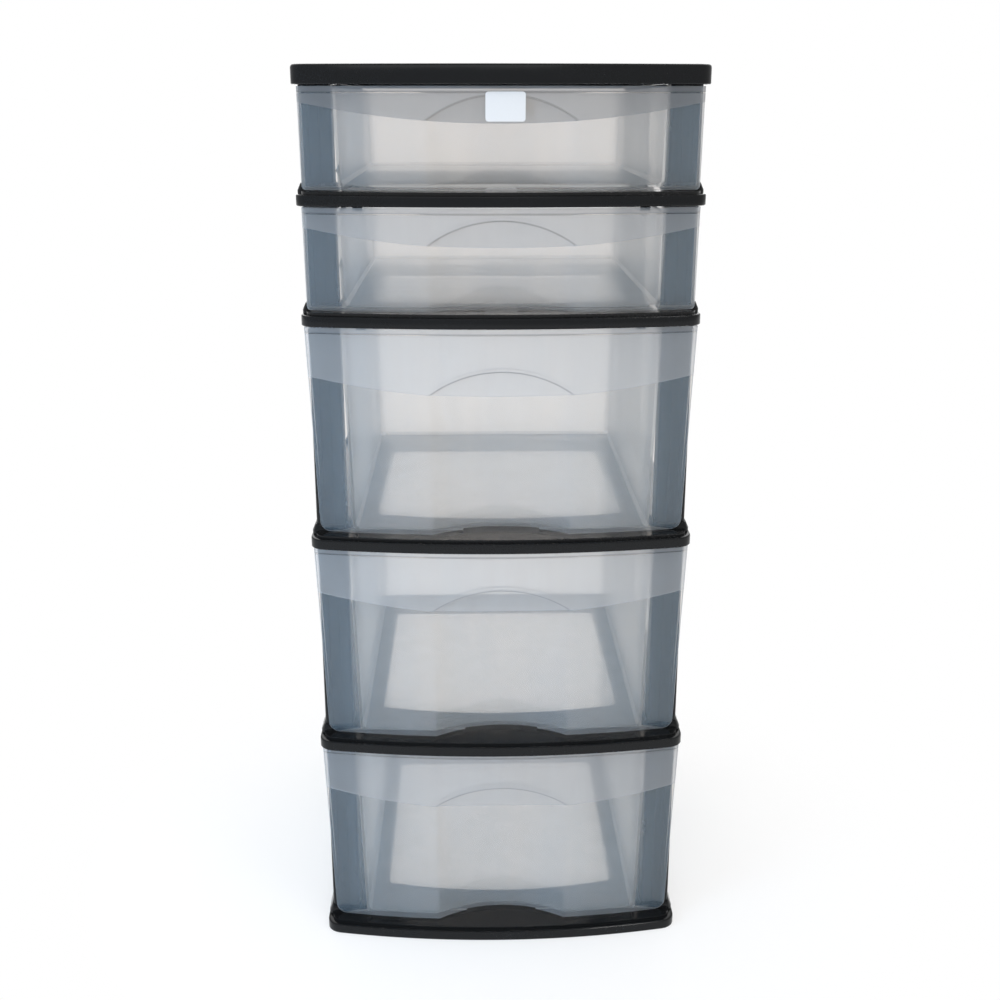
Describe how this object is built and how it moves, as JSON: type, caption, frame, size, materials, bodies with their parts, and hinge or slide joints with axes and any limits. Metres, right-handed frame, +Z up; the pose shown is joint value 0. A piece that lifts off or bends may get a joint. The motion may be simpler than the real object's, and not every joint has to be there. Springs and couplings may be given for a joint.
{
  "type": "plastic drawer tower",
  "caption": "Tall tower of translucent pull-out drawers in black plastic shelf frames, joined by plug-in corner legs under a flat lid.",
  "frame": {"origin": "on the floor, under the middle of the tower's overall box", "axes": "+Z up, drawer fronts face -Y, +X to the right as seen from the front"},
  "size_m": [0.32, 0.377, 0.755],
  "materials": {
    "black_frame": "glossy injection-moulded polypropylene, black",
    "black_leg": "glossy injection-moulded polypropylene, black, fluted",
    "clear_drawer": "natural translucent polypropylene, frosted on the upper band and clear below",
    "blank_label": "blank white adhesive label with rounded corners"
  },
  "bodies": {
    "tower": {"lid": "black_frame", "base": "black_frame", "shelf_1": "black_frame", "shelf_2": "black_frame", "shelf_3": "black_frame", "shelf_4": "black_frame", "leg_1_front_left": "black_leg", "leg_1_front_right": "black_leg", "leg_1_rear_left": "black_leg", "leg_1_rear_right": "black_leg", "leg_2_front_left": "black_leg", "leg_2_front_right": "black_leg", "leg_2_rear_left": "black_leg", "leg_2_rear_right": "black_leg", "leg_3_front_left": "black_leg", "leg_3_front_right": "black_leg", "leg_3_rear_left": "black_leg", "leg_3_rear_right": "black_leg", "leg_4_front_left": "black_leg", "leg_4_front_right": "black_leg", "leg_4_rear_left": "black_leg", "leg_4_rear_right": "black_leg", "leg_5_front_left": "black_leg", "leg_5_front_right": "black_leg", "leg_5_rear_left": "black_leg", "leg_5_rear_right": "black_leg"},
    "drawer_1_body": {"drawer_1": "clear_drawer"},
    "drawer_2_body": {"drawer_2": "clear_drawer"},
    "drawer_3_body": {"drawer_3": "clear_drawer"},
    "drawer_4_body": {"drawer_4": "clear_drawer"},
    "drawer_5_body": {"drawer_5": "clear_drawer"}
  },
  "joints": [
    {"name": "drawer_1_slide", "type": "slide", "parent": "tower", "child": "drawer_1_body", "axis": [0, -1, 0], "range_m": [0, 0.336]},
    {"name": "drawer_2_slide", "type": "slide", "parent": "tower", "child": "drawer_2_body", "axis": [0, -1, 0], "range_m": [0, 0.336]},
    {"name": "drawer_3_slide", "type": "slide", "parent": "tower", "child": "drawer_3_body", "axis": [0, -1, 0], "range_m": [0, 0.336]},
    {"name": "drawer_4_slide", "type": "slide", "parent": "tower", "child": "drawer_4_body", "axis": [0, -1, 0], "range_m": [0, 0.336]},
    {"name": "drawer_5_slide", "type": "slide", "parent": "tower", "child": "drawer_5_body", "axis": [0, -1, 0], "range_m": [0, 0.336]}
  ]
}
